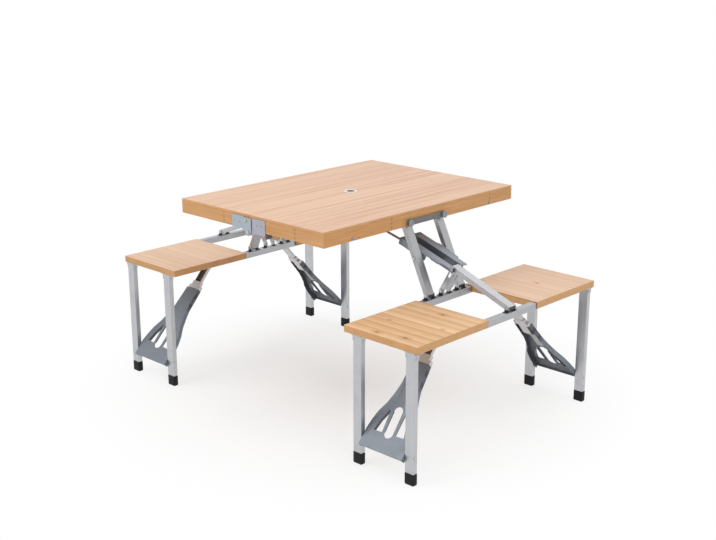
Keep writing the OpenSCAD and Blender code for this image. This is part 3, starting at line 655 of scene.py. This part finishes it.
for s, sx in SIDES:
    for n, sy in ENDS:
        f = on_leg_plate(sx, sy)
        parts = [bead([(side * x, u) for x, u in path], LEG_BEAD_W, LEG_BEAD_H,
                      lambda a, b, h: f(a, b, LEG_SKIN - h))
                 for side in (-1, 1) for path in LEG_BEADS]
        piece(f"leg_plate_beads_{s}{n}", join(parts), "sheet", f"leg_plate_{s}{n}")
    f = on_brace(sx)
    # the brace beads get the lighter bead colour, a painted highlight on them
    parts = [bead([(BRACE_BEAD_TOP, side * y), (end, side * y)], BRACE_BEAD_W, BRACE_BEAD_H,
                  lambda a, b, h: f(a, b, BRACE_SKIN + h))
             for side in (-1, 1) for y, end in BRACE_BEADS]
    piece(f"brace_beads_{s}", join(parts), "bead", f"brace_plate_{s}")

# ---------- moulded handle strap ----------
HANDLE_X, HANDLE_Z = 0.3112, 0.618         # back of the strap and its height
HANDLE_Y, HANDLE_R = 0.0765, 0.010         # from the middle to a boss, radius of the ends
HANDLE_T = 0.0018                          # half thickness
HANDLE_BULGE = 0.0016                      # swell of the strap, which narrows by as much
HANDLE_RISE = 0.045                        # length from a boss to the full swell
HANDLE_STEPS = 48

rings = []
reach = HANDLE_Y + HANDLE_R
for i in range(HANDLE_STEPS + 1):
    y = -reach + 2 * reach * i / HANDLE_STEPS
    past = abs(y) - HANDLE_Y
    if past > 0:
        half = min(math.sqrt(max(HANDLE_R ** 2 - past ** 2, 0.0)) + 0.0008, HANDLE_R)
        out = 0.0
    else:
        k = min(1.0, -past / HANDLE_RISE)
        out = HANDLE_BULGE * k * k * (3 - 2 * k)
        half = HANDLE_R - out
    cx = HANDLE_X + HANDLE_T + out
    outline = rounded(HANDLE_T + out * 0.35, half, min(0.0016, half * 0.6))
    rings.append([(cx + a, y, HANDLE_Z + b) for a, b in outline])
piece("handle_strap", loft(rings), "handle", "handle", ["carry_handle"])

# ---------- rivet and bolt heads ----------
KNEE_Y, STRUT_FACE_Y = 0.023, 0.0875   # where the heads stand, from the middle of the table
LEG_FACE = 0.0168                      # and from the middle of a leg
KNEE_HEAD, STRUT_HEAD, LEG_HEAD = (0.0052, 0.0013), (0.0056, 0.0014), (0.0049, 0.0013)
HEAD_SINK = 0.0004


def head(place, axis, r, h):
    """A low dome of radius r and height h, sunk a little into the piece it stands on."""
    dome = ((1.0, 0.0), (0.94, 0.4), (0.75, 0.8), (0.4, 1.0), (0.0, 1.0))
    return lathe(place, axis, [(r, -HEAD_SINK)] + [(r * a, h * b) for a, b in dome])


for s, sx in SIDES:
    heads = [head((sx * KNEE[0], sy * KNEE_Y, KNEE[1]), (0, sy, 0), *KNEE_HEAD) for _, sy in ENDS]
    piece(f"knee_bolt_heads_{s}", join(heads), "steel", f"brace_plate_{s}")
    heads = [head((sx * RIVET[0], sy * STRUT_FACE_Y, RIVET[1]), (0, sy, 0), *STRUT_HEAD)
             for _, sy in ENDS]
    piece(f"strut_rivet_heads_{s}", join(heads), "steel", f"struts_{s}")
    for n, sy in ENDS:
        heads = [head((sx * (x + d * LEG_FACE), sy * LEG_Y, LEG_RIVET_Z), (sx * d, 0, 0), *LEG_HEAD)
                 for x, d in zip(LEG_X, (-1, 1))]
        piece(f"leg_rivet_heads_{s}{n}", join(heads), "steel", f"legs_{s}{n}")

# ---------- floor, light, camera ----------
FLOOR_HALF, FLOOR_Z = 30.0, -0.0005
NEAR_GLOW = 0.33                   # share of plain white at the middle of the floor
FADE_END = 0.95                    # distance from which it is all white


def floor():
    """Pale floor that keeps the object's shadow and fades to white around it."""
    t = Tree("floor", Roughness=0.9)
    cloud = t.noise(t.coord, 3.0, 2.0)
    pale = t.mix(t.mul(cloud, 0.02), (0.97, 0.97, 0.97), (0.95, 0.95, 0.95))
    t.put(t.bsdf.inputs["Base Color"], pale)
    t.bsdf.inputs["Specular IOR Level"].default_value = 0.1
    p = t.place()
    share = t.span(t.hypot(p[0], p[1]), 0.0, FADE_END, NEAR_GLOW, 1.0, smooth=False)
    path = t.new("LightPath")
    seen = t.top(path.outputs["Is Camera Ray"], path.outputs["Is Glossy Ray"])
    both = t.new("MixShader")
    t.put(both.inputs[0], t.mul(share, seen))
    t.put(both.inputs[1], t.bsdf.outputs[0])
    t.put(both.inputs[2], t.new("Emission").outputs[0])
    t.put(t.t.nodes["Material Output"].inputs["Surface"], both.outputs[0])
    mesh = bpy.data.meshes.new("floor")
    r = FLOOR_HALF
    mesh.from_pydata([(-r, -r, 0), (r, -r, 0), (r, r, 0), (-r, r, 0)], [], [(0, 1, 2, 3)])
    o = bpy.data.objects.new("floor", mesh)
    mesh.materials.append(t.mat)
    bpy.context.scene.collection.objects.link(o)
    o.location.z = FLOOR_Z


floor()

WORLD_LIGHT, WORLD_SEEN = 0.46, 1.0   # strength for light, and for the camera and reflections
world = bpy.data.worlds.new("studio")
bpy.context.scene.world = world
world.use_nodes = True
wt = world.node_tree
back = wt.nodes["Background"]
light_path = wt.nodes.new("ShaderNodeLightPath")
seen = wt.nodes.new("ShaderNodeMath")
seen.operation = "MAXIMUM"
wt.links.new(light_path.outputs["Is Camera Ray"], seen.inputs[0])
wt.links.new(light_path.outputs["Is Glossy Ray"], seen.inputs[1])
strength = wt.nodes.new("ShaderNodeMapRange")
wt.links.new(seen.outputs[0], strength.inputs[0])
strength.inputs[3].default_value = WORLD_LIGHT
strength.inputs[4].default_value = WORLD_SEEN
wt.links.new(strength.outputs[0], back.inputs["Strength"])
back.inputs["Color"].default_value = (1, 1, 1, 1)


def area(name, place, target, size, power):
    lamp = bpy.data.lights.new(name, "AREA")
    lamp.shape = "RECTANGLE"
    lamp.size = lamp.size_y = size
    lamp.energy = power
    o = bpy.data.objects.new(name, lamp)
    o.location = place
    o.rotation_euler = (Vector(target) - Vector(place)).to_track_quat("-Z", "Y").to_euler()
    bpy.context.scene.collection.objects.link(o)


area("key", (-1.4, -2.8, 3.2), (0, 0, 0.3), 2.6, 62)
area("top", (0.3, 0.6, 4.2), (0, 0, 0.4), 4.0, 48)
area("fill", (3.6, -0.8, 2.4), (0, 0, 0.4), 4.0, 42)

# the view of the photo, from a fit to the corners of the table, seats and legs
cam = bpy.data.cameras.new("camera")
cam.lens = 58.57
cam.sensor_width = 36.0
camera = bpy.data.objects.new("camera", cam)
camera.location = (2.49984, -2.57253, 1.44631)
camera.rotation_euler = (math.radians(73.65), math.radians(0.06), math.radians(43.8))
bpy.context.scene.collection.objects.link(camera)
bpy.context.scene.camera = camera
bpy.context.scene.view_settings.view_transform = "Standard"
